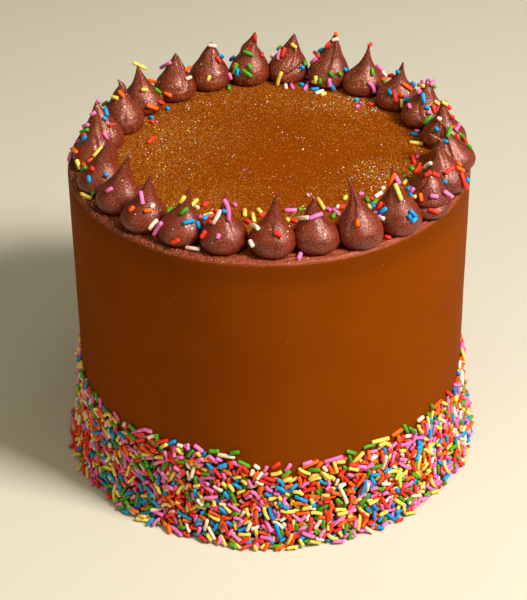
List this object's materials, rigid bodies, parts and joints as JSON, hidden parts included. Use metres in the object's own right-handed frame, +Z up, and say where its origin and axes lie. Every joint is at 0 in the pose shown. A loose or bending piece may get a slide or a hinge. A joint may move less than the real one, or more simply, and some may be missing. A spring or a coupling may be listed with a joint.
{
  "type": "rainbow cake",
  "caption": "Tall round uncut cake under smooth chocolate frosting, with a ring of piped dollops on top and a deep band of rainbow sprinkles round its foot.",
  "frame": {"origin": "middle of the flat underside, on the surface the cake stands on", "axes": "+Z up through the middle of the cake, -Y towards the front that the picture shows, +X to its right"},
  "size_m": [0.2264, 0.2259, 0.2033],
  "materials": {
    "frosting": "satin",
    "dollop_frosting": "satin",
    "sprinkle_pink": "satin",
    "sprinkle_red": "satin",
    "sprinkle_orange": "satin",
    "sprinkle_yellow": "satin",
    "sprinkle_green": "satin",
    "sprinkle_blue": "satin",
    "sprinkle_cream": "satin",
    "gold_dust": "satin"
  },
  "bodies": {
    "root": {"cake": "frosting", "dollop_01": "dollop_frosting", "dollop_02": "dollop_frosting", "dollop_03": "dollop_frosting", "dollop_04": "dollop_frosting", "dollop_05": "dollop_frosting", "dollop_06": "dollop_frosting", "dollop_07": "dollop_frosting", "dollop_08": "dollop_frosting", "dollop_09": "dollop_frosting", "dollop_10": "dollop_frosting", "dollop_11": "dollop_frosting", "dollop_12": "dollop_frosting", "dollop_13": "dollop_frosting", "dollop_14": "dollop_frosting", "dollop_15": "dollop_frosting", "dollop_16": "dollop_frosting", "dollop_17": "dollop_frosting", "dollop_18": "dollop_frosting", "dollop_19": "dollop_frosting", "dollop_20": "dollop_frosting", "dollop_21": "dollop_frosting", "dollop_22": "dollop_frosting", "dollop_23": "dollop_frosting", "dollop_24": "dollop_frosting", "dollop_25": "dollop_frosting"}
  },
  "joints": []
}
